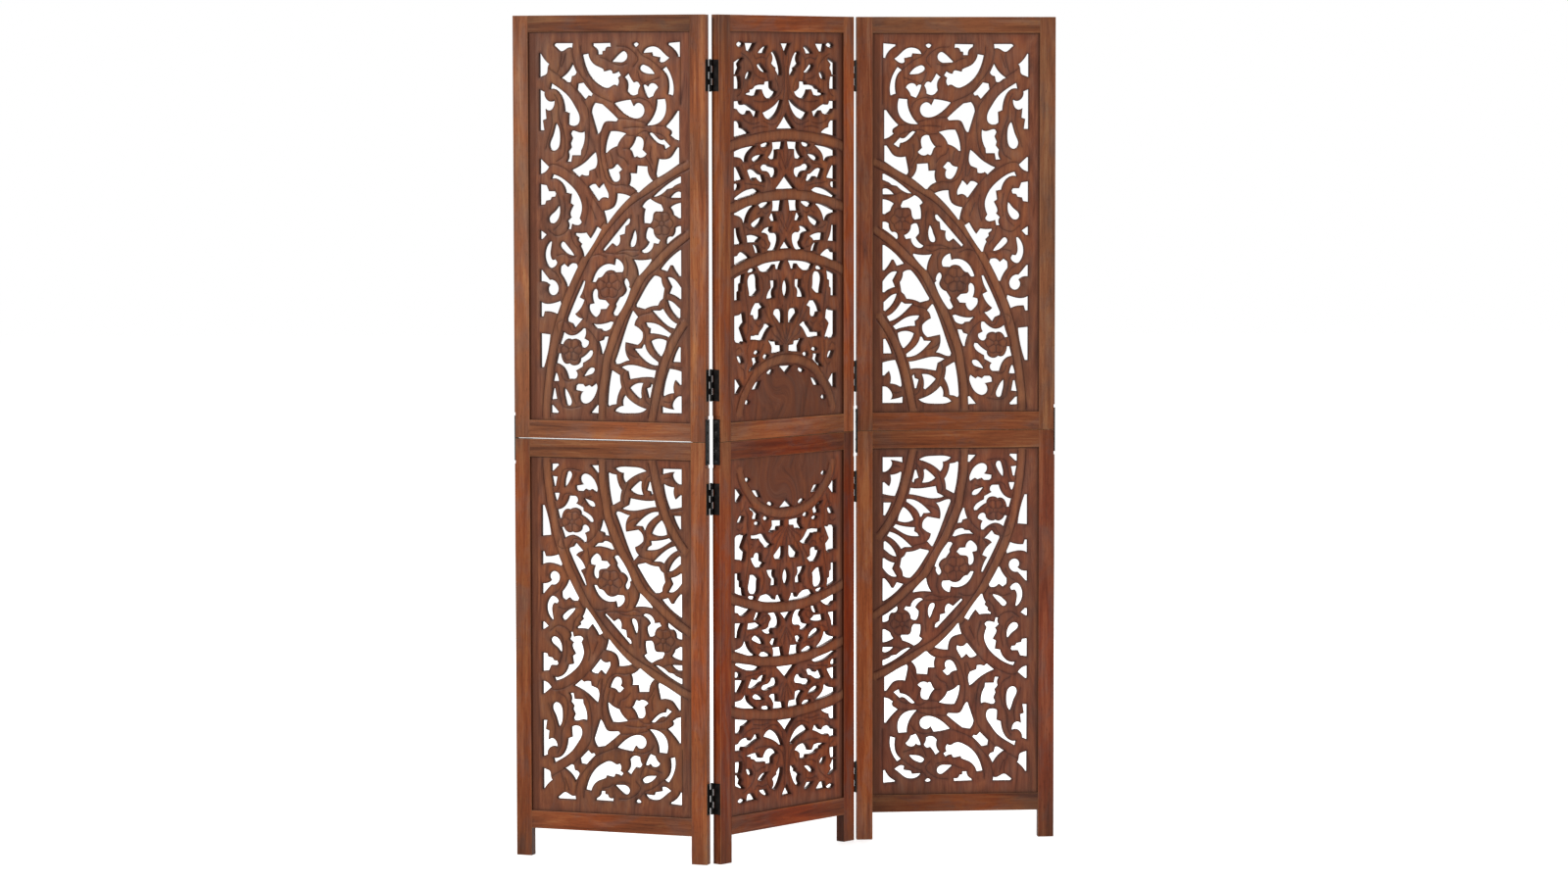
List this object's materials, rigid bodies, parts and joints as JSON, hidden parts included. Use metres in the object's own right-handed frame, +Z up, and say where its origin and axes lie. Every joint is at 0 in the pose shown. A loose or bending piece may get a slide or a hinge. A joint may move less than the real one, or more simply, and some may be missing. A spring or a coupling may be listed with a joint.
{
  "type": "folding room divider",
  "caption": "Folding floor screen of hinged wooden panels, each framing an upper and a lower carved openwork board with scrolls, leaves and blossoms.",
  "frame": {"origin": "on the floor under the centre of the screen's box as it stands", "axes": "+Z up, +X to the right as seen from the front, +Y from the front to the back"},
  "size_m": [1.076, 0.3614, 1.65],
  "materials": {
    "frame_wood": "satin stain",
    "carved_wood": "satin stain",
    "black_metal": "satin"
  },
  "bodies": {
    "middle_panel": {"left_fold_hinge_1_middle_leaf": "black_metal", "left_fold_hinge_2_middle_leaf": "black_metal", "left_fold_hinge_3_middle_leaf": "black_metal", "left_fold_hinge_4_middle_leaf": "black_metal", "left_fold_hinge_pins": "black_metal", "middle_panel_hinge_screws": "black_metal", "middle_panel_left_joining_plate": "black_metal", "middle_panel_lower_bottom_rail": "frame_wood", "middle_panel_lower_carved_board": "carved_wood", "middle_panel_lower_left_stile": "frame_wood", "middle_panel_lower_right_stile": "frame_wood", "middle_panel_lower_top_rail": "frame_wood", "middle_panel_plate_screws": "black_metal", "middle_panel_right_joining_plate": "black_metal", "middle_panel_upper_bottom_rail": "frame_wood", "middle_panel_upper_carved_board": "carved_wood", "middle_panel_upper_left_stile": "frame_wood", "middle_panel_upper_right_stile": "frame_wood", "middle_panel_upper_top_rail": "frame_wood", "right_fold_hinge_1_middle_leaf": "black_metal", "right_fold_hinge_2_middle_leaf": "black_metal", "right_fold_hinge_3_middle_leaf": "black_metal", "right_fold_hinge_4_middle_leaf": "black_metal", "right_fold_hinge_pins": "black_metal"},
    "left_panel": {"left_fold_hinge_1_left_leaf": "black_metal", "left_fold_hinge_2_left_leaf": "black_metal", "left_fold_hinge_3_left_leaf": "black_metal", "left_fold_hinge_4_left_leaf": "black_metal", "left_panel_hinge_screws": "black_metal", "left_panel_left_joining_plate": "black_metal", "left_panel_lower_bottom_rail": "frame_wood", "left_panel_lower_carved_board": "carved_wood", "left_panel_lower_left_stile": "frame_wood", "left_panel_lower_right_stile": "frame_wood", "left_panel_lower_top_rail": "frame_wood", "left_panel_plate_screws": "black_metal", "left_panel_right_joining_plate": "black_metal", "left_panel_upper_bottom_rail": "frame_wood", "left_panel_upper_carved_board": "carved_wood", "left_panel_upper_left_stile": "frame_wood", "left_panel_upper_right_stile": "frame_wood", "left_panel_upper_top_rail": "frame_wood"},
    "right_panel": {"right_fold_hinge_1_right_leaf": "black_metal", "right_fold_hinge_2_right_leaf": "black_metal", "right_fold_hinge_3_right_leaf": "black_metal", "right_fold_hinge_4_right_leaf": "black_metal", "right_panel_hinge_screws": "black_metal", "right_panel_left_joining_plate": "black_metal", "right_panel_lower_bottom_rail": "frame_wood", "right_panel_lower_carved_board": "carved_wood", "right_panel_lower_left_stile": "frame_wood", "right_panel_lower_right_stile": "frame_wood", "right_panel_lower_top_rail": "frame_wood", "right_panel_plate_screws": "black_metal", "right_panel_right_joining_plate": "black_metal", "right_panel_upper_bottom_rail": "frame_wood", "right_panel_upper_carved_board": "carved_wood", "right_panel_upper_left_stile": "frame_wood", "right_panel_upper_right_stile": "frame_wood", "right_panel_upper_top_rail": "frame_wood"}
  },
  "joints": [
    {"name": "left_fold", "type": "hinge", "parent": "middle_panel", "child": "left_panel", "pos_m": [-0.15213, -0.16193, 0.825], "axis": [0, 0, 1], "range_deg": [-112, 68]},
    {"name": "right_fold", "type": "hinge", "parent": "middle_panel", "child": "right_panel", "pos_m": [0.13555, 0.1247, 0.825], "axis": [0, 0, 1], "range_deg": [-137, 43]}
  ]
}
